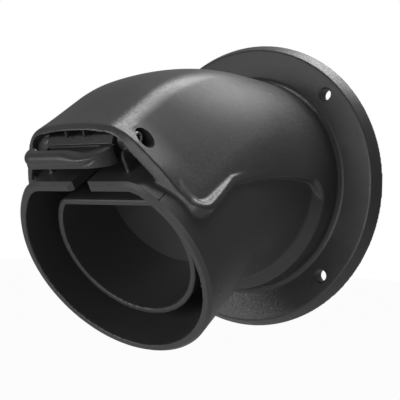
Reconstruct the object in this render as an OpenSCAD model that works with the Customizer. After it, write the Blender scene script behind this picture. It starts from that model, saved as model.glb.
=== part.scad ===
// Wall holder for the connector of a car charging cable.
// The back of the flange lies on the plane y = 0, the nozzle points forward (-Y) and down.

/* [Flange] */
// Diameter of the wall flange
flange_d = 130; // [126:1:160]
// Thickness of the wall flange
flange_t = 6; // [4:0.5:9]
// How far the flange's front edge is drawn in from its back edge
flange_draft = 2.6; // [1:0.2:4]
// Diameter of a screw hole
hole_d = 5.2; // [3.5:0.1:6.5]
// Number of screw holes
hole_count = 4; // [3:1:8]

/* [Neck] */
// Outer diameter of the neck
neck_d = 95; // [92:1:98]
// Length of the neck from the wall to its shoulder
neck_len = 22; // [18:0.5:26]
// Radius of the fillet between neck and flange
neck_fillet = 1.6; // [0.5:0.1:3]
// Radius of the round on the neck's shoulder
shoulder_round = 3.5; // [2:0.5:4.5]
// Wall thickness of neck and hood
shell = 3.4; // [2.4:0.1:3.6]

/* [Nozzle] */
// Distance from the wall to the point where the nozzle's axis leaves the neck's axis
elbow_reach = 49; // [47:0.5:54]
// Angle of the nozzle below the horizontal
tilt = 34; // [28:1:38]
// Length of the nozzle's axis from the elbow to the mouth
nozzle_reach = 60.5; // [58:0.5:66]
// Outer radius of the D-shaped nozzle
nozzle_r = 43; // [41.5:0.5:43.5]
// Height of the nozzle's flat top over its axis
nozzle_flat = 34.7; // [33.5:0.1:36]
// Corner radius of the nozzle's D shape
nozzle_corner = 13; // [8:0.5:15]
// Wall thickness of the nozzle
nozzle_wall = 3.6; // [2.5:0.1:4.5]

/* [Socket] */
// Outer radius of the D-shaped collar
collar_r = 31.2; // [29:0.2:33]
// Height of the collar's flat top over the nozzle's axis
collar_flat = 21.8; // [20:0.2:23]
// Corner radius of the collar's D shape
collar_corner = 5; // [3.5:0.5:7]
// Wall thickness of the collar
collar_wall = 2.4; // [1.6:0.2:3]
// How far the collar's rim stands back from the mouth
collar_recess = 9.5; // [6:0.5:14]
// Depth of the socket inside the collar
socket_depth = 32; // [28:0.5:34]
// Depth of the gap round the collar, from the mouth
gap_depth = 38; // [30:0.5:40]
// Thickness of the socket's floor
floor_t = 3; // [2:0.5:4]

/* [Hood] */
// How far the hood's rim stands back from the mouth
hood_setback = 9; // [7:0.5:9.5]
// Gap between the lever's hub and the hood's ceiling
hood_head = 1; // [1:0.1:4]
// Radius of the hood's upper corners
hood_corner = 10; // [8:0.5:11]
// Half the width of the hood's flat top
hood_half = 14; // [13.5:0.5:16]
// Radius of the hood's round sides, round the nozzle's axis
hood_r = 44.2; // [44:0.1:45.5]
// Height of the hood's lower edge over the nozzle's axis
hood_edge = 13.5; // [10:0.5:17]
// Radius of the hood's lower front corners, seen from the side
hood_toe = 5; // [3:0.5:7]
// How far the hood's lower front corners flare out
hood_flare = 1.3; // [0.4:0.1:2]
// Width of the flared border
flare_w = 6; // [4:0.5:9]
// Depth of the space under the hood
hood_depth = 25; // [24:0.5:28]
// Height of the two ribs under the hood's top
rib_h = 0.6; // [0.3:0.1:0.6]
// Thickness of the two ribs
rib_t = 1; // [0.6:0.1:1.6]
// Distance between the two ribs
rib_gap = 8.4; // [6:0.2:14]

/* [Latch] */
// Width of the slot in the nozzle's top wall
slot_w = 7.6; // [7:0.2:10]
// Setback of the lever's pivot from the mouth
pivot_back = 14.4; // [14:0.1:15]
// Height of the lever's pivot over the nozzle's flat top
pivot_rise = 9.7; // [9.3:0.1:9.9]
// Diameter of the pivot pin
pin_d = 4; // [3:0.1:4.2]
// Diameter of the pin's hollow
pin_bore_d = 2.2; // [1.2:0.1:2.6]
// Length of the pivot pin
pin_len = 44; // [42.5:0.5:45]
// Diameter of the recess round each end of the pin
recess_d = 7.2; // [6:0.2:7.8]
// How far the pin's ends stand up from the floor of their recesses
pin_proud = 1.2; // [0.5:0.1:1.6]
// Thickness of the cheeks that stand beside the lever
cheek_t = 1.8; // [1.4:0.1:2.2]
// Width of the lever's tongue
tongue_w = 35.6; // [34:0.2:40]
// Width of the lever's hub between the cheeks
hub_w = 31.4; // [29:0.2:33]
// Thickness of the tongue's round nose
nose_d = 6.8; // [6:0.1:7.2]
// How far the nose's centre line stands out past the mouth
nose_out = 2.2; // [1:0.1:5]
// Height of the nose's centre line over the pivot
nose_rise = 1.1; // [0.4:0.1:1.6]
// Radius of the tongue's front corners
tongue_corner = 7; // [2:0.5:8]
// Radius of the finger trough behind the nose
trough_r = 3.5; // [3:0.1:3.6]
// Depth of the dip in the nose's top edge
dip_depth = 1.9; // [0.5:0.1:2.6]
// Sideways place of the dip
dip_x = 10.5; // [-10.5:0.5:10.5]
// Width of the latch hook
hook_w = 6; // [4:0.2:6.4]
// Distance from the pivot to the back of the hook
hook_set = 13.6; // [13:0.1:14.5]
// Thickness of the latch hook
hook_t = 4; // [3:0.1:4.5]
// How far the hook reaches through the nozzle's top wall
hook_reach = 3; // [1.5:0.1:4]

/* [Fits] */
// Radial clearance between the pin and the housing
pin_seat = 0.03; // [0.02:0.01:0.05]
// Radial clearance between the pin and the lever's hub
pin_run = 0.06; // [0.04:0.01:0.1]
// Gap between the lever's hub and each cheek
hub_gap = 0.6; // [0.3:0.1:1]
// Gap under the lever's stop foot at rest
stop_gap = 0.1; // [0.05:0.05:0.3]

/* [Spring] */
// Diameter of the spring wire
wire_d = 0.9; // [0.6:0.05:1]
// Radial gap between the pin and the spring's coil
coil_gap = 0.45; // [0.3:0.05:0.5]
// Turns of the coil
coil_turns = 4; // [3:1:5]
// Sideways place of the coil's middle
coil_x = 8.8; // [8:0.2:10]
// Gap between the spring and the pieces round it
spring_gap = 0.35; // [0.3:0.05:0.4]

/* [Hidden] */
$fn = 96;
over = 1;
far = 200;

neck_r = neck_d / 2;
bore_r = neck_r - shell;
hole_inset = 0.25;
hole_circle_r = (flange_d / 2 + neck_r) / 2 - hole_inset;
mouth_y = -elbow_reach - nozzle_reach * cos(tilt);
mouth_z = -nozzle_reach * sin(tilt);
nozzle_inner_r = nozzle_r - nozzle_wall;
nozzle_ceiling = nozzle_flat - nozzle_wall;
floor_back = collar_recess + socket_depth + floor_t;
hood_back = hood_setback + hood_depth;
boss_x = hub_w / 2 + hub_gap;
cheek_air = 0.2;
cheek_x = tongue_w / 2 + cheek_air;
pin_end = pin_len / 2;
recess_floor = pin_end - pin_proud;
pivot_up = nozzle_flat + pivot_rise;
coil_r = pin_d / 2 + coil_gap + wire_d / 2;
coil_air = 0.1;
coil_pitch = wire_d + coil_air;
coil_half = coil_turns * coil_pitch / 2;
pocket_r = coil_r + wire_d / 2 + spring_gap;
pocket_w = 2 * coil_half + wire_d + 2 * spring_gap;
hub_wall = 0.5;
hub_r = pocket_r + hub_wall;
hub_low = pivot_up - hub_r;
hub_reach = 6.4;
hub_front = pivot_back - hub_reach;
hub_lip = 1.6;
leg_reach = 4.6;
leg_front = pivot_back - leg_reach;
leg_x = coil_x + coil_half;
leg_roof = pivot_up - coil_r + wire_d / 2 + spring_gap;
nose_up = pivot_up + nose_rise;
plate_rise = 0.6;
plate_top = pivot_up + plate_rise;
root_set = 2;
tongue_root = hub_front - root_set;
arm_side = 2.2;
arm_w = slot_w + 2 * arm_side;
hook_back = pivot_back + hook_set;
hook_front = hook_back - hook_t;
hook_tip = nozzle_ceiling - hook_reach;
slot_spare = 5;
slot_back = hook_back + slot_spare;
hood_ceiling = pivot_up + hub_r + hood_head;
hood_top = hood_ceiling + shell;
corner_up = hood_top - hood_corner;

// Moves to the nozzle: x across, y up from its axis, z forward from the mouth
module at_mouth() {
  translate([0, mouth_y, mouth_z]) rotate([90 + tilt, 0, 0]) children();
}

// Extrudes a shape of the setback and height plane across the nozzle
module across(w) {
  rotate([0, 90, 0]) linear_extrude(w, center = true) children();
}

// Extrudes a shape of the nozzle's cross-section between two setbacks
module along(from, to) {
  translate([0, 0, -to]) linear_extrude(to - from) children();
}

function mix(a, b, w) = a + (b - a) * w;
function ease(t) = t * t * (3 - 2 * t);
function clamp(t) = min(1, max(0, t));

// Points of an arc after its first one, and an outline from its right half
function arc(centre, r, from, to, steps) =
  [for (i = [1:steps]) let (a = mix(from, to, i / steps)) centre + r * [cos(a), sin(a)]];
function both_halves(half) = concat(half, [for (i = [len(half) - 1:-1:0]) [-half[i].x, half[i].y]]);

// Circle of radius r with a flat top at height flat and round corners
module d_shape(r, flat, corner) {
  corner_y = flat - corner;
  corner_x = sqrt(pow(r - corner, 2) - corner_y * corner_y);
  touch = atan2(corner_y, corner_x);
  polygon(both_halves(concat(
    arc([0, 0], r, -90, touch, 32),
    arc([corner_x, corner_y], corner, touch, 90, 10)
  )));
}

// The hood's section: round below, with straight sides that lean in to a flat top with round corners
hood_hub = [hood_half, corner_up];
side_angle = atan2(corner_up, hood_half) - acos((hood_r - hood_corner) / norm(hood_hub));
corner_touch = hood_hub + hood_corner * [cos(side_angle), sin(side_angle)];

// The hood's section drawn in by a wall thickness
module hood_space(inset) {
  polygon(both_halves(concat(
    arc([0, 0], hood_r - inset, -side_angle, side_angle, 12),
    arc(hood_hub, hood_corner - inset, side_angle, 90, 12)
  )));
}

// Distance from the nozzle's axis to the hood's section in the direction a, from 0 at the side to 90 at the top
function hood_polar(a) =
  a < side_angle ? hood_r
  : a < atan2(corner_touch.y, corner_touch.x) ? hood_r / cos(a - side_angle)
  : a < atan2(hood_top, hood_half) ? corner_polar([cos(a), sin(a)])
  : hood_top / sin(a);
function corner_polar(dir) =
  let (m = dir * hood_hub)
  m + sqrt(m * m - hood_hub * hood_hub + hood_corner * hood_corner);

// Path of the elbow in the y and z plane: from the neck's axis round to the nozzle's axis
bend_start = neck_len - 7;
bend_points = [
  [-bend_start, 0],
  [-elbow_reach, 0],
  [mouth_y + hood_back * cos(tilt), mouth_z + hood_back * sin(tilt)]
];
function bend_at(t) =
  pow(1 - t, 2) * bend_points[0] + 2 * t * (1 - t) * bend_points[1] + t * t * bend_points[2];
function bend_dir(t) =
  (1 - t) * (bend_points[1] - bend_points[0]) + t * (bend_points[2] - bend_points[1]);

// Stations of the skin: [y, z, slope, share of the hood's section, height of the lower edge, flare]
bend_steps = 10;
edge_power = 1.5;
edge_blend = 20;
edge_blend_end = 0.22;
edge_blend_power = 2.5;
flare_fade = 20;
seam = 0.25;
function edge_drop(t) = edge_blend * pow(max(0, 1 - t / edge_blend_end), edge_blend_power);
function bend_station(t) =
  let (p = bend_at(t), d = bend_dir(t))
  [p.x, p.y, atan2(-d.y, -d.x), ease(t), hood_edge * pow(t, edge_power) - edge_drop(t), 0];
function toe_rise(s) = hood_toe * (1 - sqrt(1 - pow(1 - clamp((s - hood_setback) / hood_toe), 2)));
function front_station(s) = [
  mouth_y + s * cos(tilt), mouth_z + s * sin(tilt), tilt, 1, hood_edge + toe_rise(s),
  hood_flare * ease(clamp(1 - (s - hood_setback - hood_toe) / flare_fade))
];
toe_shares = [1, 0.5, 0.15, 0];
skin_stations = concat(
  [for (i = [0:bend_steps - 1]) bend_station(i / bend_steps)],
  [for (i = [0:3]) front_station(mix(hood_back, hood_setback + hood_toe, i / 4))],
  [for (share = toe_shares) front_station(hood_setback + hood_toe * share)]
);

// Points of one section of the skin, over the top from the left lower edge to the right one
arc_steps = 44;
function skin_radius(st, a) = mix(neck_r - seam, hood_polar(a > 90 ? 180 - a : a), st[3]);
function skin_flare(st, up) = st[5] * ease(clamp(1 - (up - st[4]) / flare_w));
function skin_section(st) =
  let (low = asin(st[4] / skin_radius(st, 0)))
  [for (i = [0:arc_steps])
    let (a = mix(180 - low, low, i / arc_steps), base = skin_radius(st, a))
    let (r = base + skin_flare(st, base * sin(a)))
    [r * cos(a), st[0] - sin(st[2]) * r * sin(a), st[1] + cos(st[2]) * r * sin(a)]];

// Solid through a list of sections with equal numbers of points
module loft(sections) {
  n = len(sections[0]);
  last = len(sections) - 1;
  walls = [for (k = [0:last - 1], i = [0:n - 1])
    let (j = (i + 1) % n)
    for (tri = [[k * n + i, k * n + j, (k + 1) * n + j], [k * n + i, (k + 1) * n + j, (k + 1) * n + i]]) tri];
  polyhedron(
    points = [for (section = sections) each section],
    faces = concat([[for (i = [n - 1:-1:0]) i]], walls, [[for (i = [0:n - 1]) last * n + i]])
  );
}

// Neck skin and hood as one solid, closed below its lower edge
module skin() {
  loft([for (st = skin_stations) skin_section(st)]);
}

// Drawn-in disc of the wall flange with the fillet to the neck
module flange() {
  flange_r = flange_d / 2;
  rotate([90, 0, 0]) rotate_extrude() {
    polygon([[0, 0], [flange_r, 0], [flange_r, flange_t / 4], [flange_r - flange_draft, flange_t], [0, flange_t]]);
    translate([0, flange_t]) difference() {
      square([neck_r + neck_fillet, neck_fillet]);
      translate([neck_r + neck_fillet, neck_fillet]) circle(neck_fillet);
    }
  }
}

// Round neck with a rounded shoulder
module neck() {
  rotate([90, 0, 0]) rotate_extrude() {
    square([neck_r, neck_len - shoulder_round]);
    square([neck_r - shoulder_round, neck_len]);
    translate([neck_r - shoulder_round, neck_len - shoulder_round]) circle(shoulder_round);
  }
}

// Sweep from the nozzle to the neck's shoulder: each curve leaves along the nozzle and ends outwards
sweep_back = hood_back + 2;
sweep_top = nozzle_flat - 7;
sweep_r = neck_r - shoulder_round;
sweep_tuck = 1;
sweep_pull = 26;
sweep_push = 18;
sweep_fill = 0.45;
sweep_lean = 35;
sweep_steps = 9;
sweep_points = 60;
function sweep_point(a, t) =
  let (up = min(nozzle_r * sin(a), sweep_top))
  let (from = [
    nozzle_r * cos(a), mouth_y + sweep_back * cos(tilt) - up * sin(tilt), mouth_z + sweep_back * sin(tilt) + up * cos(tilt)
  ])
  let (to = [sweep_r * cos(a), sweep_tuck - neck_len, sweep_r * sin(a)])
  let (pull = sweep_pull * [0, cos(tilt), sin(tilt)])
  let (hollow = sweep_push * (1 - sweep_fill * (1 + sin(a))))
  let (push = hollow * [cos(sweep_lean) * cos(a), sin(sweep_lean), cos(sweep_lean) * sin(a)])
  mix(from, to, ease(t)) + t * pow(1 - t, 2) * pull - t * t * (1 - t) * push;

module sweep() {
  loft([for (k = [sweep_steps:-1:0])
    [for (i = [0:sweep_points - 1]) sweep_point(-i * 360 / sweep_points, k / sweep_steps)]]);
}

// Outside of the nozzle: a D-shaped tube with a sweep back to the neck
module nozzle_outside() {
  at_mouth() along(0, sweep_back + over) d_shape(nozzle_r, nozzle_flat, nozzle_corner);
  sweep();
}

// Space inside the nozzle: the gap round the collar and the socket in it
module socket() {
  at_mouth() {
    difference() {
      along(-over, gap_depth) d_shape(nozzle_inner_r, nozzle_ceiling, nozzle_corner - nozzle_wall);
      along(collar_recess, gap_depth + over) d_shape(collar_r, collar_flat, collar_corner);
    }
    along(-over, collar_recess + socket_depth)
      d_shape(collar_r - collar_wall, collar_flat - collar_wall, collar_corner - collar_wall);
  }
}

// Hollow back of the moulding: the neck's bore and the tilted bore behind the socket's floor
module back_hollow() {
  elbow_clear = 3;
  rotate([90, 0, 0]) translate([0, 0, -over]) cylinder(h = neck_len - shell + over, r = bore_r);
  intersection() {
    at_mouth() along(floor_back, far) circle(nozzle_inner_r);
    rotate([90, 0, 0]) translate([0, 0, -over]) cylinder(h = far, r = bore_r - elbow_clear);
  }
}

// Space under the hood, open at the rim
module hood_hollow() {
  rib_x = rib_gap / 2;
  at_mouth() difference() {
    along(hood_setback - over, hood_back) hood_space(shell);
    along(hood_setback - 2 * over, hood_back + over) d_shape(nozzle_r, nozzle_flat, nozzle_corner);
    for (x = [-rib_x, rib_x]) translate([x, 0, 0]) along(hood_setback + over, hood_back + over)
      translate([-rib_t / 2, hood_ceiling - rib_h]) square([rib_t, 2 * rib_h]);
  }
}

// Outline of a lever cheek: a round lug with a foot that reaches forward
module cheek_outline() {
  lug_r = 4.2;
  foot_low = nozzle_flat - over;
  foot_front = pivot_back - 7.4;
  foot_back = pivot_back + 4.8;
  corner = 3;
  translate([pivot_back, pivot_up]) circle(lug_r);
  polygon(concat(
    [[foot_front, foot_low], [foot_back, foot_low], [pivot_back + lug_r - 0.2, pivot_up]],
    arc([foot_front + corner, pivot_up - corner - 0.4], corner, 90, 180, 8)
  ));
}

// Cheeks beside the lever, with the bosses that carry the pin and join them to the hood's walls
module cheeks() {
  boss_r = 4.8;
  boss_end = recess_floor + 0.4;
  at_mouth() for (side = [-1, 1]) {
    translate([side * (cheek_x + cheek_t / 2), 0, 0]) across(cheek_t) cheek_outline();
    translate([side * (boss_x + boss_end) / 2, 0, 0]) across(boss_end - boss_x)
      translate([pivot_back, pivot_up]) circle(boss_r);
  }
}

// Bore for the pin, with a wider recess at each side of the hood
module pin_holes() {
  at_mouth() {
    across(2 * pin_end) translate([pivot_back, pivot_up]) circle(pin_d / 2 + pin_seat);
    for (side = [-1, 1]) translate([side * (recess_floor + far / 2), 0, 0]) across(far)
      translate([pivot_back, pivot_up]) circle(recess_d / 2);
  }
}

module screw_holes() {
  for (i = [0:hole_count - 1]) rotate([0, (i + 0.5) * 360 / hole_count, 0])
    translate([hole_circle_r, 0, 0]) rotate([90, 0, 0])
      translate([0, 0, -over]) cylinder(h = flange_t + 2 * over, d = hole_d);
}

// Slot in the nozzle's top wall, open at the mouth
module latch_slot() {
  at_mouth() along(-over, slot_back)
    translate([-slot_w / 2, nozzle_ceiling - over]) square([slot_w, nozzle_wall + 2 * over]);
}

module housing() {
  color("#2b2c2e") difference() {
    union() {
      difference() {
        union() {
          flange();
          neck();
          skin();
        }
        hood_hollow();
      }
      nozzle_outside();
      cheeks();
    }
    socket();
    back_hollow();
    latch_slot();
    pin_holes();
    screw_holes();
  }
}

// Side view of the lever: round nose on a plate with a thin lip, and the hub with its overhanging front
module lever_side() {
  plate_back = pivot_back - 2.4;
  plate_low = hub_low - 1;
  lip_low = nose_up - nose_d / 2 - 0.5;
  lip_out = nose_out + 1.5;
  translate([-nose_out, nose_up]) circle(nose_d / 2);
  translate([pivot_back, pivot_up]) circle(hub_r);
  polygon([
    [-lip_out, lip_low], [plate_back, plate_low], [plate_back, plate_top], [-nose_out, plate_top],
    [-lip_out, lip_low + 1]
  ]);
  polygon([
    [hub_front, pivot_up + hub_lip], [hub_front + hub_lip, pivot_up], [plate_back, hub_low], [pivot_back, hub_low],
    [pivot_back, pivot_up + hub_r], [hub_front + 2.4, pivot_up + hub_r - 0.2]
  ]);
}

// Plan view of the lever: broad tongue with round corners, narrower hub
module lever_plan() {
  front = nose_out + nose_d / 2 + over;
  half = tongue_w / 2;
  hub_half = hub_w / 2;
  back = pivot_back + hub_r + over;
  corner_y = front - over - tongue_corner;
  for (side = [-1, 1]) translate([side * (half - tongue_corner), corner_y]) circle(tongue_corner);
  polygon([
    [half - tongue_corner, front], [half - tongue_corner, corner_y], [half, corner_y], [half, -tongue_root],
    [hub_half, -hub_front - 0.6], [hub_half, -back], [-hub_half, -back], [-hub_half, -hub_front - 0.6],
    [-half, -tongue_root], [-half, corner_y], [tongue_corner - half, corner_y], [tongue_corner - half, front]
  ]);
}

// Rear arm with the hook that drops through the slot and the stop foot that rests beside the slot
module lever_hook() {
  hook_chamfer = 1.5;
  arm_top = pivot_up + 2;
  foot_front = pivot_back + 5.4;
  foot_low = nozzle_flat + stop_gap;
  across(arm_w) polygon([
    [pivot_back, hub_low + over], [foot_front, hub_low + over], [foot_front, foot_low], [hook_front - over, foot_low],
    [hook_front, hub_low + 2 * over], [hook_back, hub_low + 2 * over], [hook_back, arm_top - over],
    [pivot_back, arm_top]
  ]);
  across(hook_w) polygon([
    [hook_front, pivot_up], [hook_front, hook_tip + 2 * hook_chamfer], [hook_front + hook_chamfer, hook_tip],
    [hook_back - hook_chamfer / 2, hook_tip], [hook_back, hook_tip + hook_chamfer], [hook_back, pivot_up]
  ]);
}

module latch_lever() {
  dip_r = (pow(tongue_w / 4, 2) + dip_depth * dip_depth) / (2 * dip_depth);
  trough_back = hub_front - trough_r + 1;
  trough_w = hub_w - 1;
  color("#252628") at_mouth() difference() {
    union() {
      intersection() {
        across(far) lever_side();
        rotate([90, 0, 0]) linear_extrude(far, center = true) lever_plan();
      }
      lever_hook();
    }
    translate([dip_x, nose_up + nose_d / 2 - dip_depth + dip_r, 0]) cylinder(h = far, r = dip_r);
    across(trough_w) translate([trough_back, plate_top]) circle(trough_r);
    across(far) translate([pivot_back, pivot_up]) circle(pin_d / 2 + pin_run);
    translate([coil_x, 0, 0]) across(pocket_w) {
      translate([pivot_back, pivot_up]) circle(pocket_r);
      translate([pivot_back - pocket_r, hub_low - over]) square([2 * pocket_r, hub_r + over]);
    }
    translate([leg_x, 0, 0]) across(wire_d + 2 * spring_gap)
      translate([leg_front - spring_gap, hub_low - over]) square([pivot_back - leg_front, leg_roof - hub_low + over]);
  }
}

module pivot_pin() {
  color("#8f9296") at_mouth() across(pin_len) translate([pivot_back, pivot_up]) difference() {
    circle(pin_d / 2);
    circle(pin_bore_d / 2);
  }
}

// Path of the spring's wire: a leg back to the nozzle's flat, the coil round the pin, a leg in the lever's groove
ring_sides = 8;
turn_steps = 14;
leg_len = 9;
leg_back = pivot_back + leg_len;
leg_low = nozzle_flat + spring_gap + wire_d / 2;
function coil_point(a) = [
  coil_x - coil_half + coil_pitch * a / 360, pivot_up - coil_r * cos(a), -pivot_back + coil_r * sin(a)
];
coil_path = [for (i = [0:coil_turns * turn_steps]) coil_point(i * 360 / turn_steps)];
coil_last = coil_path[len(coil_path) - 1];
spring_path = concat(
  [[coil_path[0].x, leg_low, -leg_back]],
  coil_path,
  [[coil_last.x, coil_last.y, -leg_front]]
);
function unit(v) = v / norm(v);
function ring_at(path, i) =
  let (t = unit(path[min(i + 1, len(path) - 1)] - path[max(i - 1, 0)]))
  let (side = unit([1, 0, 0] - t.x * t), up = cross(side, t))
  [for (k = [0:ring_sides - 1])
    path[i] + wire_d / 2 * (cos(k * 360 / ring_sides) * side + sin(k * 360 / ring_sides) * up)];

module return_spring() {
  color("#b4b6b8") at_mouth() loft([for (i = [0:len(spring_path) - 1]) ring_at(spring_path, i)]);
}

housing();
latch_lever();
pivot_pin();
return_spring();
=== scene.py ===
import math

import bmesh
import bpy
from mathutils import Matrix, Vector


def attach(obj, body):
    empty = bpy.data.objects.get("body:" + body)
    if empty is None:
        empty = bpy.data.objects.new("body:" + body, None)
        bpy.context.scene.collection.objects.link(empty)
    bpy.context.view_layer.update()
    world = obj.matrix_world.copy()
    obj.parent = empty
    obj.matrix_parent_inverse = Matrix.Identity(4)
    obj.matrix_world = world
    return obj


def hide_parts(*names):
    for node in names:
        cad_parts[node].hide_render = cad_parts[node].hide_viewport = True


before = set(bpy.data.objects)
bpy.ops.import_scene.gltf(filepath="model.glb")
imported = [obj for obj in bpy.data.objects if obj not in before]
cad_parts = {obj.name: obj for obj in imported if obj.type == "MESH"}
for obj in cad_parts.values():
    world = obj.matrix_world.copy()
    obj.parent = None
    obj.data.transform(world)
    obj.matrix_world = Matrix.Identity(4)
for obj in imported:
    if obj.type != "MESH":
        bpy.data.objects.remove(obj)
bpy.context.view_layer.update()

# Sizes are in millimetres, as in the part's source. Meshes are scaled to metres when finished.
# A setback is counted from the nozzle's mouth back along its axis, a height up from that axis.
TO_METRES = Matrix.Scale(0.001, 4)
FAR = 200.0
OVER = 1.0

# Flange, neck and elbow
FLANGE_R = 65.0
FLANGE_T = 6.0
FLANGE_LIP = 1.5
FLANGE_DRAFT = 2.6
HOLE_CIRCLE_R = 56.0
HOLE_R = 2.6
HOLE_CHAMFER = 0.5
HOLE_COUNT = 4
NECK_R = 47.5
NECK_LEN = 22.0
NECK_CHAMFER = 1.6
SHOULDER = 3.5
SHELL = 3.4
ELBOW_REACH = 49.0
ELBOW_STEP = 3.0

# Nozzle, collar, socket and hood
TILT = math.radians(34)
NOZZLE_REACH = 60.5
NOZZLE_WALL = 3.6
COLLAR_WALL = 2.4
COLLAR_RECESS = 9.5
SOCKET_END = COLLAR_RECESS + 32.0
SOCKET_FLOOR = 3.0
GAP_DEPTH = 38.0
HOOD_FRONT = 6.6
HOOD_BACK = 34.0
HOOD_EDGE = 13.5
HOOD_TOE = 8.5

# Pivot of the latch lever
PIVOT_BACK = 14.4
PIVOT_UP = 44.4
PIN_R = 2.0
PIN_END = 22.6
RECESS_R = 3.6
RECESS_X = 20.8

SIDE = Vector((1, 0, 0))
AHEAD = Vector((0, -math.cos(TILT), -math.sin(TILT)))
UP = Vector((0, -math.sin(TILT), math.cos(TILT)))
MOUTH = Vector((0, -ELBOW_REACH, 0)) + NOZZLE_REACH * AHEAD


def at(x, up, back):
    """Point across, above and behind the middle of the nozzle's mouth."""
    return MOUTH + x * SIDE + up * UP - back * AHEAD


def mix(a, b, share):
    return a + (b - a) * share


def ease(t):
    t = min(1.0, max(0.0, t))
    return t * t * (3 - 2 * t)


def ease_in(value, start, length):
    """Grows from 0 to 1 over a length."""
    return ease((value - start) / length)


def ease_out(value, start, length):
    """Falls from 1 to 0 over a length."""
    return ease(1 - (value - start) / length)


RING_POINTS = 300
FLAT_TOP = -1e5


class Outline:
    """Round below, with round upper corners and a top that is flat, or bowed about a low centre."""

    def __init__(self, radius, corner_x, corner_y, corner, bow=FLAT_TOP):
        self.radius, self.hub, self.corner = radius, Vector((corner_x, corner_y)), corner
        self.bow = bow
        rise = self.hub - Vector((0, bow))
        self.bow_r = rise.length + corner
        self.top = bow + self.bow_r
        level = self.hub + corner * rise.normalized()
        lean = min(1.0, (radius - corner) / self.hub.length)
        self.side = math.atan2(corner_y, corner_x) - math.acos(lean)
        touch = self.hub + corner * Vector((math.cos(self.side), math.sin(self.side)))
        self.touch = math.atan2(touch.y, touch.x)
        self.level = math.atan2(level.y, level.x)

    def inset(self, wall):
        return Outline(
            self.radius - wall, self.hub.x, self.hub.y, self.corner - wall, self.bow
        )

    def reach(self, angle):
        """Distance from the axis to the outline, with the angle counted from the right."""
        a = math.atan2(math.sin(angle), abs(math.cos(angle)))
        if a < self.side:
            return self.radius
        if a < self.touch:
            return self.radius / math.cos(a - self.side)
        if a < self.level:
            m = self.hub.x * math.cos(a) + self.hub.y * math.sin(a)
            return m + math.sqrt(m * m - self.hub.length_squared + self.corner**2)
        if self.bow == FLAT_TOP:
            return (self.hub.y + self.corner) / math.sin(a)
        return self.bow * math.sin(a) + math.sqrt(self.bow_r**2 - (self.bow * math.cos(a)) ** 2)

    def ring(self, back):
        """Points of the outline on the nozzle's axis at that setback."""
        points = []
        for i in range(RING_POINTS):
            a = 2 * math.pi * i / RING_POINTS
            r = self.reach(a)
            points.append(at(r * math.cos(a), r * math.sin(a), back))
        return points


def d_outline(radius, flat, corner):
    level = flat - corner
    return Outline(radius, math.sqrt((radius - corner) ** 2 - level**2), level, corner)


NOZZLE = d_outline(43.0, 34.7, 13.0)
COLLAR = d_outline(31.2, 21.8, 5.0)
HOOD = Outline(44.2, 14.0, 42.7, 10.0, -50.0)


# Mesh making: rings of points are bridged and capped, and then cut or joined with each other
ROD_POINTS = 96
TURN_STEPS = 320
MERGE_DISTANCE = 1e-4
FILLET_SHARE = 0.5
FILLET_ROUNDS = 3
SHARP_ANGLE = math.radians(40)


def mesh_object(name, bm):
    bmesh.ops.recalc_face_normals(bm, faces=bm.faces)
    mesh = bpy.data.meshes.new(name)
    bm.to_mesh(mesh)
    bm.free()
    obj = bpy.data.objects.new(name, mesh)
    bpy.context.scene.collection.objects.link(obj)
    return obj


def loft(name, rings):
    bm = bmesh.new()
    loops = []
    for points in rings:
        circle = bmesh.ops.create_circle(bm, cap_ends=False, radius=1, segments=len(points))
        for vert, point in zip(circle["verts"], points):
            vert.co = point
        edges = [edge for vert in circle["verts"] for edge in vert.link_edges]
        loops.append(list(dict.fromkeys(edges)))
    for one, other in zip(loops, loops[1:]):
        bmesh.ops.bridge_loops(bm, edges=one + other)
    for end in (loops[0], loops[-1]):
        bmesh.ops.edgeloop_fill(bm, edges=end)
    return mesh_object(name, bm)


def prism(outline, start, end):
    """The outline, extruded between two setbacks."""
    return loft("prism", [outline.ring(start), outline.ring(end)])


def across(points, low, high):
    """A shape of (setback, height) pairs, extruded from one side to the other."""
    return loft("plate", [[at(x, up, back) for back, up in points] for x in (low, high)])


def bar(front, end, low, high):
    """The (setback, height) corners of a plain bar."""
    return [(front, low), (front, high), (end, high), (end, low)]


def arc(centre, radius, start, end, steps):
    found = []
    for i in range(steps + 1):
        a = math.radians(mix(start, end, i / steps))
        found.append((centre[0] + radius * math.cos(a), centre[1] + radius * math.sin(a)))
    return found


def rod(radius, low, high, back=PIVOT_BACK, up=PIVOT_UP):
    """A round bar across the nozzle."""
    last = 360 * (1 - 1 / ROD_POINTS)
    return across(arc((back, up), radius, 0, last, ROD_POINTS - 1), low, high)


def spin(bm, verts, edges, axis, centre, steps):
    bmesh.ops.spin(
        bm, geom=verts + edges, axis=axis, cent=centre, steps=steps,
        angle=2 * math.pi, use_merge=True,
    )


def turned(profile):
    """A (radius, distance from the wall) profile, turned round the neck's axis."""
    bm = bmesh.new()
    verts = [bm.verts.new((r, -y, 0)) for r, y in profile]
    edges = [bm.edges.new(pair) for pair in zip(verts, verts[1:])]
    spin(bm, verts, edges, (0, 1, 0), (0, 0, 0), TURN_STEPS)
    bmesh.ops.remove_doubles(bm, verts=bm.verts, dist=MERGE_DISTANCE)
    return mesh_object("turned", bm)


def settle(obj):
    """Turns the object's modifiers into its mesh."""
    depsgraph = bpy.context.evaluated_depsgraph_get()
    mesh = bpy.data.meshes.new_from_object(obj.evaluated_get(depsgraph))
    obj.modifiers.clear()
    old, obj.data = obj.data, mesh
    bpy.data.meshes.remove(old)
    return obj


def carve(obj, operation, *tools):
    """Cuts the tools from the object, or joins them to it, and removes them."""
    for tool in tools:
        cut = obj.modifiers.new("carve", "BOOLEAN")
        cut.object, cut.operation, cut.solver = tool, operation, "MANIFOLD"
    settle(obj)
    for tool in tools:
        bpy.data.meshes.remove(tool.data)
    return obj


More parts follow.
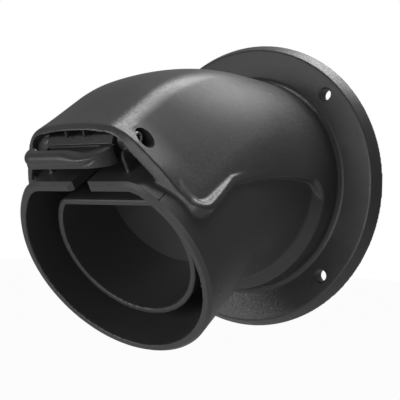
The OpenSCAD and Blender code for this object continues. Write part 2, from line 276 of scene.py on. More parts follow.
def soften(obj, voxel, triangles):
    """Gives a carved shape the small even fillets of a moulding."""
    remesh = obj.modifiers.new("skin", "REMESH")
    remesh.mode, remesh.adaptivity = "VOXEL", 0
    remesh.voxel_size = voxel
    smooth = obj.modifiers.new("fillets", "SMOOTH")
    smooth.factor, smooth.iterations = FILLET_SHARE, FILLET_ROUNDS
    settle(obj)
    thin = obj.modifiers.new("thin", "DECIMATE")
    thin.ratio = min(1.0, triangles / (2 * len(obj.data.polygons)))
    return settle(obj)


def finish_piece(obj, name, body, node, material):
    obj.name = obj.data.name = name
    obj.data.transform(TO_METRES)
    obj.data.polygons.foreach_set("use_smooth", [True] * len(obj.data.polygons))
    obj.data.set_sharp_from_angle(angle=SHARP_ANGLE)
    obj.data.materials.clear()
    obj.data.materials.append(material)
    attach(obj, body)
    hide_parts(node)


# The housing: flange and neck
def flange_and_neck():
    return turned([
        (0, 0), (FLANGE_R, 0), (FLANGE_R, FLANGE_LIP), (FLANGE_R - FLANGE_DRAFT, FLANGE_T),
        (NECK_R + NECK_CHAMFER, FLANGE_T), (NECK_R, FLANGE_T + NECK_CHAMFER),
        (NECK_R, NECK_LEN - SHOULDER), (NECK_R - SHOULDER, NECK_LEN), (0, NECK_LEN),
    ])


# The raised border along the hood's rim and lower edge, widest and highest at the toe
BORDER_PROUD = 2.5
BORDER_WIDTH = 3.7
BORDER_TURN = 2.2
BORDER_FALL = 0.5
BORDER_LEDGE = 1.8
BORDER_LEDGE_LEAST = 0.2
BORDER_PACE = 1.15
BORDER_SPREAD = 0.5
BORDER_SPREAD_START = 10.0
BORDER_TAPER_START = 4.0
BORDER_TAPER_LENGTH = 32.0
BORDER_LOWERED = 0.7
BORDER_LOWERED_START = 3.5
BORDER_LOWERED_LENGTH = 5.0
BORDER_END = 10.0
BORDER_END_LENGTH = 12.0


def border(back, rise):
    """How far the border stands out, by the distance from the rim and from the lower edge."""
    from_rim = BORDER_PACE * back - BORDER_SPREAD * max(0.0, rise - BORDER_SPREAD_START)
    near = math.exp(-from_rim / BORDER_TURN) + math.exp(-rise / BORDER_TURN)
    edge = -BORDER_TURN * math.log(near)
    taper = ease_out(back, BORDER_TAPER_START, BORDER_TAPER_LENGTH)
    ledge = BORDER_LEDGE * mix(BORDER_LEDGE_LEAST, 1, taper)
    raised = max(0.0, min(1.0, (BORDER_WIDTH - edge) / ledge + 0.5))
    fall = BORDER_FALL * max(0.0, min(1.0, 1 - edge / BORDER_WIDTH))
    lowered = 1 - BORDER_LOWERED * ease_in(rise, BORDER_LOWERED_START, BORDER_LOWERED_LENGTH)
    fade = taper * lowered * ease_out(rise, BORDER_END, BORDER_END_LENGTH)
    return (BORDER_PROUD - fall) * raised * fade


# The hood's rim: bevelled, flared along the side, plainer at the top
RIM_BEVEL = 2.1
RIM_DEEP = 3.7
RIM_DEEP_TOP = 1.4
RIM_FLARE = 1.95
RIM_FLARE_TOP = 0.3
RIM_TOP_START = 30.0
RIM_TOP_LENGTH = 9.0
FLARE_LENGTH = 14.0
FLARE_START = 7.0
FLARE_RISE = 15.0
EDGE_BEVEL = 1.2
EDGE_DEEP = 1.0
TOE_SPREAD = 0.7
TOE_SPREAD_START = 6.0
TOE_SPREAD_LENGTH = 10.0
BEVEL_END = 22.0
BEVEL_END_LENGTH = 8.0


def rim_form(back, rise):
    """Offset of the hood's side near its rim: flare and border outwards, bevelled edge inwards."""
    rise = max(0.0, rise)
    behind = max(0.0, back - RIM_BEVEL)
    top = ease_in(rise, RIM_TOP_START, RIM_TOP_LENGTH)
    run = max(0.0, 1 - behind / FLARE_LENGTH)
    flare = mix(RIM_FLARE, RIM_FLARE_TOP, top) * run**2 * ease_in(rise, FLARE_START, FLARE_RISE)
    if back < HOOD_TOE and rise < HOOD_TOE:
        edge = HOOD_TOE - math.hypot(HOOD_TOE - back, HOOD_TOE - rise)
        share = math.sqrt(math.atan2(HOOD_TOE - back, HOOD_TOE - rise) / (math.pi / 2))
    else:
        edge = min(back, rise)
        share = 1.0 if back < rise else 0.0
    spread = TOE_SPREAD * ease_out(rise, TOE_SPREAD_START, TOE_SPREAD_LENGTH)
    deep = mix(EDGE_DEEP, mix(RIM_DEEP, RIM_DEEP_TOP, top), share)
    wide = mix(EDGE_BEVEL, RIM_BEVEL + spread, share)
    bevel = deep * max(0.0, 1 - edge / wide) * ease_out(back, BEVEL_END, BEVEL_END_LENGTH)
    return max(flare, border(behind, rise)) - bevel


# The elbow's skin: half rings on a bend from the neck to the hood, then straight to the rim
BEND_OVERLAP = 7.0
BEND = (
    Vector((0, BEND_OVERLAP - NECK_LEN, 0)),
    Vector((0, -ELBOW_REACH, 0)),
    at(0, 0, HOOD_BACK),
)
BEND_STEPS = 60
FRONT_STEPS = 90
FRONT_CROWDING = 1.6
ARC_POINTS = 400
EDGE_POWER = 1.5
EDGE_DROP = 20.0
EDGE_DROP_END = 0.22
EDGE_DROP_POWER = 2.5
EDGE_ROUND = 0.7
EDGE_ROUND_END = 0.35


def skin_ring(centre, slope, share, edge, round_r, back, base):
    """Half ring over the lower edge's height, between the neck's circle and the hood's outline."""
    up = Vector((0, -math.sin(slope), math.cos(slope)))
    start = math.asin(edge / mix(NECK_R, HOOD.radius, share))
    points = []
    for i in range(ARC_POINTS):
        a = mix(start, math.pi - start, i / (ARC_POINTS - 1))
        r = mix(NECK_R, HOOD.reach(a), share)
        low = 1 - min(a - start, math.pi - start - a) * r / round_r
        if low > 0:
            r -= round_r * (1 - math.sqrt(1 - low**2))
        r += rim_form(back, r * math.sin(a) - base)
        points.append(centre + r * math.cos(a) * SIDE + r * math.sin(a) * up)
    return points


def skin():
    """Upper half of the neck, bent down into the hood."""
    rings = []
    straight = HOOD_BACK - HOOD_FRONT
    for i in range(BEND_STEPS):
        t = i / BEND_STEPS
        centre = (1 - t) ** 2 * BEND[0] + 2 * t * (1 - t) * BEND[1] + t * t * BEND[2]
        run = (1 - t) * (BEND[1] - BEND[0]) + t * (BEND[2] - BEND[1])
        drop = EDGE_DROP * max(0.0, 1 - t / EDGE_DROP_END) ** EDGE_DROP_POWER
        edge = HOOD_EDGE * t**EDGE_POWER - drop
        round_r = mix(SHOULDER, EDGE_ROUND, ease(t / EDGE_ROUND_END))
        back = straight + (centre - BEND[2]).length
        slope = math.atan2(-run.z, -run.y)
        rings.append(skin_ring(centre, slope, ease(t), edge, round_r, back, edge))
    for i in range(FRONT_STEPS + 1):
        back = straight * (1 - i / FRONT_STEPS) ** FRONT_CROWDING
        curl = 1 - min(1.0, back / HOOD_TOE)
        edge = HOOD_EDGE + HOOD_TOE * (1 - math.sqrt(1 - curl**2))
        centre = at(0, 0, HOOD_FRONT + back)
        rings.append(skin_ring(centre, TILT, 1.0, edge, EDGE_ROUND, back, HOOD_EDGE))
    return loft("skin", rings)


# The sweep under the hood, from the nozzle to the neck's shoulder
SWEEP_BACK = HOOD_BACK + 2
SWEEP_TOP = NOZZLE.top - 7
SWEEP_R = NECK_R - SHOULDER
SWEEP_PULL = 26.0
SWEEP_PUSH = 18.0
SWEEP_FILL = 0.45
SWEEP_LEAN = math.radians(60)
SWEEP_STEPS = 40


def sweep():
    """Each curve leaves along the nozzle and ends outwards on the shoulder."""
    rings = []
    for k in range(SWEEP_STEPS + 1):
        t = k / SWEEP_STEPS
        ring = []
        for i in range(RING_POINTS):
            a = 2 * math.pi * i / RING_POINTS
            outward = Vector((math.cos(a), 0, math.sin(a)))
            height = min(NOZZLE.radius * math.sin(a), SWEEP_TOP)
            start = at(NOZZLE.radius * math.cos(a), height, SWEEP_BACK)
            end = SWEEP_R * outward + Vector((0, OVER - NECK_LEN, 0))
            push = math.cos(SWEEP_LEAN) * outward + Vector((0, math.sin(SWEEP_LEAN), 0))
            hollow = SWEEP_PUSH * (1 - SWEEP_FILL * (1 + math.sin(a)))
            point = start.lerp(end, ease(t)) - t * (1 - t) ** 2 * SWEEP_PULL * AHEAD
            ring.append(point - t * t * (1 - t) * hollow * push)
        rings.append(ring)
    return loft("sweep", rings)


# Room under the hood, and what stands in it
RIM_LIP = 1.95
RIM_LIP_TOP = 1.5
RIM_LENGTH = 6.0
ROOF_START = 44.0
ROOF_LENGTH = 8.0
CHEEK_X = 18.0
CHEEK_T = 1.3
CHEEK_R = 4.2
CHEEK_BACK = 4.8
CHEEK_FRONT = 7.4
CHEEK_FRONT_R = 3.0
BOSS_X = 16.3
BOSS_R = 4.8
BOSS_PROUD = 1.6
RIB_X = 4.2
RIB_HALF = 0.5
RIB_FRONT = 10.0
RIB_LOW = 49.0
RIB_HIGH = 51.0
TICK_LOW = 48.6
TICK_FRONT = HOOD_FRONT + 1.4
TICK_BACK = HOOD_FRONT + 3.6


def hood_space_ring(back, side_wall, top_wall):
    """Inside of the hood at that setback, with its walls on the sides and at the top."""
    ring = []
    for i in range(RING_POINTS):
        a = 2 * math.pi * i / RING_POINTS
        r = HOOD.reach(a)
        r -= mix(side_wall, top_wall, ease_in(r * math.sin(a), ROOF_START, ROOF_LENGTH))
        ring.append(at(r * math.cos(a), r * math.sin(a), back))
    return ring


def hood_space():
    space = loft("hood space", [
        hood_space_ring(HOOD_FRONT - OVER, RIM_LIP, RIM_LIP_TOP),
        hood_space_ring(HOOD_FRONT, RIM_LIP, RIM_LIP_TOP),
        hood_space_ring(HOOD_FRONT + RIM_LENGTH, SHELL, SHELL),
        hood_space_ring(HOOD_BACK, SHELL, SHELL),
    ])
    below = prism(NOZZLE, HOOD_FRONT - 2 * OVER, HOOD_BACK + OVER)
    return carve(space, "DIFFERENCE", below)


def lugs(side):
    """Cheek and boss beside the lever, and a rib with its thicker front end under the roof."""
    foot = NOZZLE.top - OVER
    front = PIVOT_BACK - CHEEK_FRONT
    cheek = [(PIVOT_BACK + CHEEK_BACK, foot), (front, foot)]
    cheek += arc((front + CHEEK_FRONT_R, PIVOT_UP - CHEEK_R), CHEEK_FRONT_R, 180, 90, 12)
    cheek += arc((PIVOT_BACK, PIVOT_UP), CHEEK_R, 175, 0, 24)
    rib = bar(RIB_FRONT, HOOD_BACK, RIB_LOW, RIB_HIGH)
    tick = bar(TICK_FRONT, TICK_BACK, TICK_LOW, RIB_HIGH)
    rib_low, rib_high = side * RIB_X - RIB_HALF, side * RIB_X + RIB_HALF
    return [
        across(cheek, side * CHEEK_X, side * (CHEEK_X + CHEEK_T)),
        rod(BOSS_R, side * BOSS_X, side * (RECESS_X + BOSS_PROUD)),
        across(rib, rib_low, rib_high),
        across(tick, rib_low, rib_high),
    ]


# Hollows, made before the moulding is softened
NEARLY = 0.1


def hollows():
    """Gap round the collar, socket, elbow and neck."""
    gap = carve(
        prism(NOZZLE.inset(NOZZLE_WALL), -OVER, GAP_DEPTH),
        "DIFFERENCE",
        prism(COLLAR, COLLAR_RECESS, GAP_DEPTH + OVER),
    )
    socket = prism(COLLAR.inset(COLLAR_WALL), -OVER, SOCKET_END - OVER)
    neck_r = NECK_R - SHELL
    neck_end = NECK_LEN - SHELL
    elbow_r = neck_r - ELBOW_STEP
    nozzle_r = NOZZLE.radius - NOZZLE_WALL
    round_nozzle = Outline(nozzle_r, NEARLY, nozzle_r - 2 * NEARLY, 2 * NEARLY)
    elbow = carve(
        turned([(0, -OVER), (elbow_r, -OVER), (elbow_r, FAR), (0, FAR)]),
        "INTERSECT",
        prism(round_nozzle, SOCKET_END + SOCKET_FLOOR, FAR),
    )
    neck = turned([(0, -OVER), (neck_r, -OVER), (neck_r, neck_end), (0, neck_end)])
    return [gap, socket, elbow, neck]


# Cuts with crisp edges, made after the moulding is softened
MOUTH_CHAMFER = 1.3
SLOT_W = 7.6
SLOT_FLARE = 2.6
SLOT_FLARE_END = 1.6
SLOT_END = 33.0
PARTING_ANGLE = math.radians(39.5)
PARTING_DEEP = 0.3
PARTING_HALF = 0.64
PARTING_SHORT = 0.4
PIN_FIT = 0.03
SOCKET_TRIM = 0.05
SOCKET_TRIM_START = 4.0
HOLE_POINTS = 64
HOUSING_VOXEL = 0.45
HOUSING_TRIANGLES = 170000


def slot():
    """For the hook in the nozzle's top wall, wider at the mouth."""
    half = SLOT_W / 2
    plan = [
        (-half - SLOT_FLARE, -OVER), (-half, SLOT_FLARE_END), (-half, SLOT_END),
        (half, SLOT_END), (half, SLOT_FLARE_END), (half + SLOT_FLARE, -OVER),
    ]
    heights = (NOZZLE.top - NOZZLE_WALL - OVER, NOZZLE.top + OVER)
    return loft("slot", [[at(x, up, back) for x, back in plan] for up in heights])


def mouth_chamfer():
    cone = loft("cone", [
        NOZZLE.inset(MOUTH_CHAMFER + 2 * OVER).ring(-2 * OVER),
        NOZZLE.inset(-OVER).ring(MOUTH_CHAMFER + OVER),
    ])
    block = prism(NOZZLE.inset(-OVER), -OVER, MOUTH_CHAMFER + OVER / 2)
    return carve(block, "DIFFERENCE", cone)


def parting_line(side):
    """Thin groove along the nozzle's upper corner, left by the mould."""
    r = NOZZLE.reach(PARTING_ANGLE)
    out = Vector((math.cos(PARTING_ANGLE), math.sin(PARTING_ANGLE)))
    flank = Vector((-out.y, out.x)) * PARTING_HALF
    plan = [out * (r - PARTING_DEEP), out * (r + OVER) + flank, out * (r + OVER) - flank]
    ends = (-OVER, HOOD_FRONT - PARTING_SHORT)
    return loft("parting line", [[at(side * p.x, p.y, back) for p in plan] for back in ends])


def screw_hole(turn):
    centre = HOLE_CIRCLE_R * Vector((math.cos(turn), 0, math.sin(turn)))
    wide = HOLE_R + HOLE_CHAMFER
    angles = [2 * math.pi * k / HOLE_POINTS for k in range(HOLE_POINTS)]
    steps = [
        (-OVER, HOLE_R), (FLANGE_T - HOLE_CHAMFER, HOLE_R),
        (FLANGE_T, wide), (FLANGE_T + OVER, wide),
    ]
    rings = []
    for y, r in steps:
        rings.append([centre + Vector((r * math.cos(b), -y, r * math.sin(b))) for b in angles])
    return loft("screw hole", rings)


def crisp_cuts():
    socket = COLLAR.inset(COLLAR_WALL + SOCKET_TRIM)
    cuts = [
        rod(PIN_R + PIN_FIT, -PIN_END, PIN_END),
        slot(),
        mouth_chamfer(),
        prism(socket, COLLAR_RECESS + SOCKET_TRIM_START, SOCKET_END),
    ]
    for side in (-1, 1):
        cuts += [rod(RECESS_R, side * RECESS_X, side * FAR), parting_line(side)]
    for i in range(HOLE_COUNT):
        cuts.append(screw_hole((i + 0.5) * 2 * math.pi / HOLE_COUNT))
    return cuts


def make_housing():
    housing = carve(flange_and_neck(), "UNION", skin())
    carve(housing, "DIFFERENCE", hood_space())
    nozzle = prism(NOZZLE, 0, SWEEP_BACK + OVER)
    carve(housing, "UNION", nozzle, sweep(), *lugs(-1), *lugs(1))
    carve(housing, "DIFFERENCE", *hollows())
    soften(housing, HOUSING_VOXEL, HOUSING_TRIANGLES)
    return carve(housing, "DIFFERENCE", *crisp_cuts())


# The latch lever's tongue, with a round front bar that turns back wider on the right
TONGUE_HALF = 18.3
TONGUE_SIDES = ((1, 10.0), (-1, 5.6))
TONGUE_TOP = 45.0
TONGUE_BACK = 12.0
TONGUE_ROOT = 1.6
TONGUE_FLAT = 0.4
TONGUE_NECK = 2.0
NOSE_R = 2.7
NOSE_OUT = 2.5
NOSE_UP = 46.2
NOSE_TAIL = 0.5
NOSE_SQUARE = 0.55
NOSE_TURN_STEPS = 24
NOSE_STEPS = 40
NOSE_POINTS = 64
DIP_START = 0.0
DIP_LENGTH = 12.0
DIP_DEPTH = 1.6
LIP_OUT = NOSE_OUT + 1.6
LIP_LOW = NOSE_UP - NOSE_R - 0.6
LIP_T = 1.0
BELLY_BACK = 2.0
BELLY_DROP = 2.4
SCOOP_R = 4.0
SCOOP_BACK = 4.4
SCOOP_UP = 44.6
SCOOP_SHORT = 0.5
PLAN_BACK = 20.0
PLAN_HEIGHTS = (20.0, 60.0)

# Its hub, arm and hook, and the room for the spring
HUB_R = 4.2
HUB_LOW = PIVOT_UP - HUB_R
HUB_HALF = 15.7
HUB_FRONT = 8.0
HUB_BROW = 1.6
HUB_TOP = 4.0
HUB_SLOPE = 2.4
ARM_HALF = 6.0
ARM_LOW = HUB_LOW + 1
FOOT_BACK = PIVOT_BACK + 5.4
FOOT_LOW = NOZZLE.top + 0.1
HOOK_HALF = 3.0
HOOK_FRONT = 24.0
HOOK_BACK = 28.0
HOOK_TIP = NOZZLE.top - NOZZLE_WALL - 3
HOOK_LEAD = 3.0
HOOK_TURN = 1.5
POCKET_R = 3.7
POCKET_LOW = HUB_LOW - 2.6
POCKET_SIDES = (6.0, 11.6)
LEG_FRONT = 9.8
LEG_ROOM = 0.95
LEG_ROOF = 43.4
GROOVE_SIDE = 10.0
BORE_FIT = 0.06
LEVER_VOXEL = 0.2
LEVER_TRIANGLES = 70000


def nose_path():
    """(Across, setback, turn) along the bar, from its right end to its left end."""
    halves = []
    for side, corner in TONGUE_SIDES:
        turn_r = corner - NOSE_R
        half = [(side * (TONGUE_HALF - NOSE_R), turn_r - NOSE_OUT + NOSE_TAIL, side * math.pi / 2)]
        for i in range(NOSE_TURN_STEPS + 1):
            turn = math.pi / 2 * (1 - i / NOSE_TURN_STEPS)
            x = TONGUE_HALF - corner + turn_r * math.sin(turn)
            half.append((side * x, turn_r * (1 - math.cos(turn)) - NOSE_OUT, side * turn))
        halves.append(half)
    right, left = halves
    front = []
    for i in range(1, NOSE_STEPS):
        front.append((mix(right[-1][0], left[-1][0], i / NOSE_STEPS), -NOSE_OUT, 0.0))
    return right + front + left[::-1]


def nose():
    """The front bar: round in front, squarer above and behind, dipped for a finger."""
    rings = []
    for x, back, turn in nose_path():
        dip = DIP_DEPTH * ease_in(x, DIP_START, DIP_LENGTH)
        ring = []
        for k in range(NOSE_POINTS):
            a = 2 * math.pi * k / NOSE_POINTS
            out, up = math.cos(a), math.sin(a)
            if out < 0 < up:
                out, up = -((-out) ** NOSE_SQUARE), up**NOSE_SQUARE
            up = NOSE_UP + NOSE_R * up - dip * max(0.0, up)
            out *= NOSE_R
            ring.append(at(x + out * math.sin(turn), up, back - out * math.cos(turn)))
        rings.append(ring)
    return loft("nose", rings)


def tongue():
    """The plate behind the bar, cut to its plan and scooped out in front of the hub."""
    plate = across([
        (-LIP_OUT, LIP_LOW), (BELLY_BACK, LIP_LOW - BELLY_DROP),
        (TONGUE_BACK, HUB_LOW - TONGUE_ROOT), (TONGUE_BACK, TONGUE_TOP),
        (-NOSE_OUT, TONGUE_TOP), (-LIP_OUT, LIP_LOW + LIP_T),
    ], -FAR / 4, FAR / 4)
    plan = []
    for side, corner in TONGUE_SIDES:
        turn_back = corner - NOSE_OUT - NOSE_R
        half = arc((turn_back, TONGUE_HALF - corner), corner, 180, 90, 16)
        half += [(turn_back + TONGUE_FLAT, TONGUE_HALF), (turn_back + TONGUE_NECK, HUB_HALF)]
        half = [(back, side * x) for back, x in half + [(PLAN_BACK, HUB_HALF)]]
        plan += half if side > 0 else half[::-1]
    rings = [[at(x, up, back) for back, x in plan] for up in PLAN_HEIGHTS]
    carve(plate, "INTERSECT", loft("plan", rings))
    scoop_half = HUB_HALF - SCOOP_SHORT
    return carve(plate, "DIFFERENCE", rod(SCOOP_R, -scoop_half, scoop_half, SCOOP_BACK, SCOOP_UP))


def make_lever():
    hub = [(HUB_FRONT, PIVOT_UP + HUB_BROW), (HUB_FRONT + HUB_SLOPE, PIVOT_UP + HUB_TOP)]
    hub += arc((PIVOT_BACK, PIVOT_UP), HUB_R, 90, -90, 32)
    hub += [(PIVOT_BACK - HUB_SLOPE, HUB_LOW), (HUB_FRONT + HUB_BROW, PIVOT_UP)]
    arm = [
        (PIVOT_BACK, ARM_LOW), (FOOT_BACK, ARM_LOW), (FOOT_BACK, FOOT_LOW),
        (HOOK_FRONT - 1, FOOT_LOW), (HOOK_FRONT, ARM_LOW + 1), (HOOK_BACK, ARM_LOW + 1),
        (HOOK_BACK, PIVOT_UP + 1), (PIVOT_BACK, PIVOT_UP + 2),
    ]
    hook = [
        (HOOK_FRONT, PIVOT_UP), (HOOK_FRONT, HOOK_TIP + HOOK_LEAD),
        (HOOK_FRONT + HOOK_TURN, HOOK_TIP), (HOOK_BACK - HOOK_TURN / 2, HOOK_TIP),
        (HOOK_BACK, HOOK_TIP + HOOK_TURN), (HOOK_BACK, PIVOT_UP),
    ]
    lever = carve(
        tongue(), "UNION", nose(), across(hub, -HUB_HALF, HUB_HALF),
        across(arm, -ARM_HALF, ARM_HALF), across(hook, -HOOK_HALF, HOOK_HALF),
    )
    pocket = arc((PIVOT_BACK, PIVOT_UP), POCKET_R, 180, 0, 32)
    pocket += [(PIVOT_BACK + POCKET_R, POCKET_LOW), (PIVOT_BACK - POCKET_R, POCKET_LOW)]
    groove = bar(LEG_FRONT - LEG_ROOM, PIVOT_BACK, POCKET_LOW, LEG_ROOF)
    carve(
        lever, "DIFFERENCE",
        across(pocket, *POCKET_SIDES), across(groove, GROOVE_SIDE, POCKET_SIDES[1]),
    )
    soften(lever, LEVER_VOXEL, LEVER_TRIANGLES)
    return carve(lever, "DIFFERENCE", rod(PIN_R + BORE_FIT, -FAR / 4, FAR / 4))


# The hollow pin and the spring on it
PIN_BORE_R = 1.2
PIN_HEAD_R = 2.5
PIN_HEAD_SEAT = RECESS_X + 0.05
PIN_BEVEL = 0.3
PIN_STEPS = 64
WIRE_R = 0.45
WIRE_ROUNDS = 4
COIL_R = 2.9
COIL_PITCH = 1.0
COIL_TURNS = 4
COIL_START = 6.8
COIL_END = 10.8
COIL_STEPS = 24 * COIL_TURNS
LEG_UP = NOZZLE.top + 0.8
LEG_BACK = PIVOT_BACK + 9


def make_pin():
    """A hollow pin with a low rolled head at both ends."""
    half = [
        (PIN_BORE_R, PIN_END - PIN_BEVEL), (PIN_BORE_R + PIN_BEVEL, PIN_END),
        (PIN_HEAD_R - PIN_BEVEL, PIN_END), (PIN_HEAD_R, PIN_END - PIN_BEVEL),
        (PIN_HEAD_R, PIN_HEAD_SEAT), (PIN_R, PIN_HEAD_SEAT),
    ]
    profile = half + [(r, -x) for r, x in reversed(half)]
    centre = at(0, PIVOT_UP, PIVOT_BACK)
    bm = bmesh.new()
    verts = [bm.verts.new(centre + Vector((x, r, 0))) for r, x in profile]
    edges = [bm.edges.new((verts[i], verts[i - 1])) for i in range(len(verts))]
    spin(bm, verts, edges, SIDE, centre, PIN_STEPS)
    return mesh_object("pin", bm)


def make_spring():
    """A coil of round wire, with one leg on the nozzle and one under the tongue."""
    path = [at(COIL_START, LEG_UP, LEG_BACK)]
    for i in range(COIL_STEPS + 1):
        share = i / COIL_STEPS
        a = 2 * math.pi * COIL_TURNS * share
        x = COIL_START + COIL_PITCH * COIL_TURNS * share
        path.append(at(x, PIVOT_UP - COIL_R * math.cos(a), PIVOT_BACK - COIL_R * math.sin(a)))
    path.append(at(COIL_END, PIVOT_UP - COIL_R, LEG_FRONT))
    curve = bpy.data.curves.new("spring", "CURVE")
    curve.dimensions, curve.use_fill_caps = "3D", True
    curve.bevel_depth, curve.bevel_resolution = WIRE_R, WIRE_ROUNDS
    line = curve.splines.new("POLY")
    line.points.add(len(path) - 1)
    for point, place in zip(line.points, path):
        point.co = (*place, 1)
    drawn = bpy.data.objects.new("spring", curve)
    bpy.context.scene.collection.objects.link(drawn)
    depsgraph = bpy.context.evaluated_depsgraph_get()
    mesh = bpy.data.meshes.new_from_object(drawn.evaluated_get(depsgraph))
    bpy.data.curves.remove(curve)
    spring = bpy.data.objects.new("spring", mesh)
    bpy.context.scene.collection.objects.link(spring)
    return spring


# Materials
class Value:
    """A shader socket whose sums and products add Math nodes."""

    def __init__(self, shader, socket):
        self.shader, self.socket = shader, socket

    def math(self, operation, *others):
        sockets = dict(enumerate((self, *others)))
        return self.shader.node("ShaderNodeMath", {"operation": operation}, sockets)

    def __add__(self, other):
        return self.math("ADD", other)

    def __sub__(self, other):
        return self.math("SUBTRACT", other)

    def __rsub__(self, other):
        sockets = {0: other, 1: self}
        return self.shader.node("ShaderNodeMath", {"operation": "SUBTRACT"}, sockets)

    def __mul__(self, other):
        return self.math("MULTIPLY", other)

    __radd__, __rmul__ = __add__, __mul__


class Shader:
    """The node tree of a material or of the world."""

    def __init__(self, owner):
        self.owner = owner
        owner.use_nodes = True
        self.tree = owner.node_tree
        self.tree.nodes.clear()

    def node(self, kind, settings=None, sockets=None, out=0):
        made = self.tree.nodes.new(kind)
        for key, value in (settings or {}).items():
            if key == "stops":
                ramp = made.color_ramp.elements
                for i, (place, colour) in enumerate(value):
                    stop = ramp[i] if i < 2 else ramp.new(place)
                    stop.position, stop.color = place, colour
            else:
                setattr(made, key, value)
        for key, value in (sockets or {}).items():
            if isinstance(value, Value):
                self.tree.links.new(value.socket, made.inputs[key])
            else:
                made.inputs[key].default_value = value
        return Value(self, made.outputs[out])

    def noise(self, place, scale, detail, roughness):
        return self.node("ShaderNodeTexNoise", sockets={
            "Vector": place, "Scale": scale, "Detail": detail, "Roughness": roughness,
        })

    def tint(self, dark, light, share):
        """A colour between dark and light."""
        stops = [(0.3, (*dark, 1)), (0.7, (*light, 1))]
        return self.node("ShaderNodeValToRGB", {"stops": stops}, {"Fac": share})

    def bump(self, strength, distance, height):
        return self.node("ShaderNodeBump", sockets={
            "Strength": strength, "Distance": distance, "Height": height,
        })

    def in_sight(self, direct, glossy):
        """How much of a plain white a ray meets: direct or through glass, or in a reflection."""
        camera = self.node("ShaderNodeLightPath", out="Is Camera Ray")
        through = self.node("ShaderNodeLightPath", out="Is Transmission Ray")
        reflected = self.node("ShaderNodeLightPath", out="Is Glossy Ray")
        seen = camera.math("MAXIMUM", through) * direct
        return seen.math("MAXIMUM", reflected * glossy)

    def end(self, shader, output="ShaderNodeOutputMaterial"):
        made = self.tree.nodes.new(output)
        self.tree.links.new(shader.socket, made.inputs["Surface"])
        return self.owner


def moulded_plastic(name, dark, light, roughness):
    """Fine grain and specks, with a faint large cloud."""
    s = Shader(bpy.data.materials.new(name))
    place = s.node("ShaderNodeTexCoord", out="Object")
    grain = s.noise(place, 2600.0, 3.0, 0.6)
    speck = s.noise(place, 1000.0, 2.0, 0.5)
    cloud = s.noise(place, 38.0, 4.0, 0.55)
    uneven = 0.1 * (cloud - 0.5) + 0.16 * (grain - 0.5) + 0.4 * (speck - 0.5)
    return s.end(s.node("ShaderNodeBsdfPrincipled", sockets={
        "Base Color": s.tint(dark, light, cloud * 0.5 + speck * 0.3 + grain * 0.2),
        "Roughness": roughness + uneven,
        "Normal": s.bump(0.18, 0.00012, grain + speck),
    }))


def drawn_steel(name, dark, light, roughness):
    """Fine lines across the nozzle, along the pin."""
    s = Shader(bpy.data.materials.new(name))
    place = s.node("ShaderNodeTexCoord", out="Object")
    stretch = {"Vector": place, "Scale": (120.0, 3000.0, 3000.0)}
    lines = s.noise(s.node("ShaderNodeMapping", sockets=stretch), 1.0, 3.0, 0.5)
    return s.end(s.node("ShaderNodeBsdfPrincipled", sockets={
        "Base Color": s.tint(dark, light, lines),
        "Metallic": 1.0,
        "Roughness": roughness + 0.2 * (lines - 0.5),
        "Normal": s.bump(0.1, 0.00004, lines),
    }))


housing_plastic = moulded_plastic(
    "housing_plastic", (0.026, 0.0262, 0.027), (0.036, 0.0362, 0.037), 0.4
)
lever_plastic = moulded_plastic(
    "lever_plastic", (0.022, 0.0222, 0.023), (0.031, 0.0312, 0.032), 0.38
)
pin_steel = drawn_steel("pin_steel", (0.36, 0.36, 0.365), (0.52, 0.52, 0.525), 0.33)
spring_steel = drawn_steel("spring_steel", (0.38, 0.38, 0.39), (0.55, 0.55, 0.56), 0.3)

finish_piece(
    make_housing(), "housing_moulding", "holder", "housing", housing_plastic
)
finish_piece(
    make_lever(), "latch_tongue", "lever", "latch_lever", lever_plastic
)
finish_piece(make_pin(), "hollow_pin", "holder", "pivot_pin", pin_steel)
finish_piece(
    make_spring(), "torsion_spring", "holder", "return_spring", spring_steel
)


# Floor, light and camera, in metres
WHITE = (1, 1, 1, 1)
ROOM_LIGHT = 0.1
ROOM_GLOSS = 0.15
FLOOR_SIZE = 6.0
FLOOR_Z = -0.45
FLOOR_GREY = (0.62, 0.62, 0.62, 1)
FLOOR_WHITE = 0.97
FLOOR_GLOSS = 0.15
CAMERA_PLACE = Vector((0.21211, -0.34281, -0.01657))
CAMERA_TURN = math.radians(35.205)
CAMERA_RISE = math.radians(-1.286)
CAMERA_ROLL = math.radians(1.65)
CAMERA_SENSOR = 36.0
CAMERA_LENS = 77.4
CAMERA_NEAR = 0.01


def make_floor():
    bm = bmesh.new()
    bmesh.ops.create_grid(bm, x_segments=1, y_segments=1, size=FLOOR_SIZE)
    bmesh.ops.translate(bm, verts=bm.verts, vec=(0, 0, FLOOR_Z))
    floor = mesh_object("floor", bm)
    s = Shader(bpy.data.materials.new("pale_floor"))
    matt = s.node("ShaderNodeBsdfDiffuse", sockets={"Color": FLOOR_GREY})
    white = s.node("ShaderNodeEmission", sockets={"Color": WHITE, "Strength": 1.0})
    shown = s.in_sight(FLOOR_WHITE, FLOOR_GLOSS)
    pale = s.node("ShaderNodeMixShader", sockets={0: shown, 1: matt, 2: white})
    floor.data.materials.append(s.end(pale))


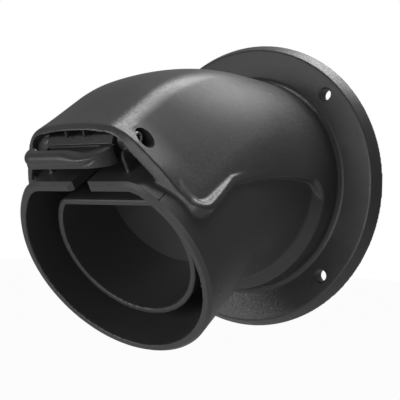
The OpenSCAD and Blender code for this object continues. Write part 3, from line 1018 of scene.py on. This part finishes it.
def make_world():
    s = Shader(bpy.data.worlds.new("studio"))
    room = s.node("ShaderNodeBackground", sockets={"Color": WHITE, "Strength": ROOM_LIGHT})
    white = s.node("ShaderNodeBackground", sockets={"Color": WHITE, "Strength": 1.0})
    shown = s.in_sight(1.0, ROOM_GLOSS)
    studio = s.node("ShaderNodeMixShader", sockets={0: shown, 1: room, 2: white})
    bpy.context.scene.world = s.end(studio, "ShaderNodeOutputWorld")


def softbox(name, place, target, width, height, watts):
    lamp = bpy.data.lights.new(name, "AREA")
    lamp.shape, lamp.size, lamp.size_y, lamp.energy = "RECTANGLE", width, height, watts
    obj = bpy.data.objects.new(name, lamp)
    obj.visible_camera = False
    obj.location = place
    aim = Vector(target) - Vector(place)
    obj.rotation_euler = aim.to_track_quat("-Z", "Y").to_euler()
    bpy.context.scene.collection.objects.link(obj)


def make_camera():
    data = bpy.data.cameras.new("camera")
    data.sensor_width, data.lens, data.clip_start = CAMERA_SENSOR, CAMERA_LENS, CAMERA_NEAR
    camera = bpy.data.objects.new("camera", data)
    back = Vector((
        math.sin(CAMERA_TURN) * math.cos(CAMERA_RISE),
        -math.cos(CAMERA_TURN) * math.cos(CAMERA_RISE),
        math.sin(CAMERA_RISE),
    ))
    level = Vector((math.cos(CAMERA_TURN), math.sin(CAMERA_TURN), 0))
    right = math.cos(CAMERA_ROLL) * level + math.sin(CAMERA_ROLL) * back.cross(level)
    axes = Matrix((right, back.cross(right), back)).transposed().to_4x4()
    camera.matrix_world = Matrix.Translation(CAMERA_PLACE) @ axes
    bpy.context.scene.collection.objects.link(camera)
    bpy.context.scene.camera = camera


make_floor()
make_world()
softbox("top_softbox", (0.11, 0.26, 0.88), (0, -0.05, 0), 0.56, 0.7, 10.5)
softbox("front_softbox", (-0.25, -1.0, -0.04), (0, -0.08, 0), 0.8, 0.4, 6.5)
softbox("low_softbox", (0.38, -0.8, -0.35), (0.02, -0.1, 0), 0.4, 0.3, 1.6)
make_camera()
bpy.context.scene.view_settings.view_transform = "Standard"
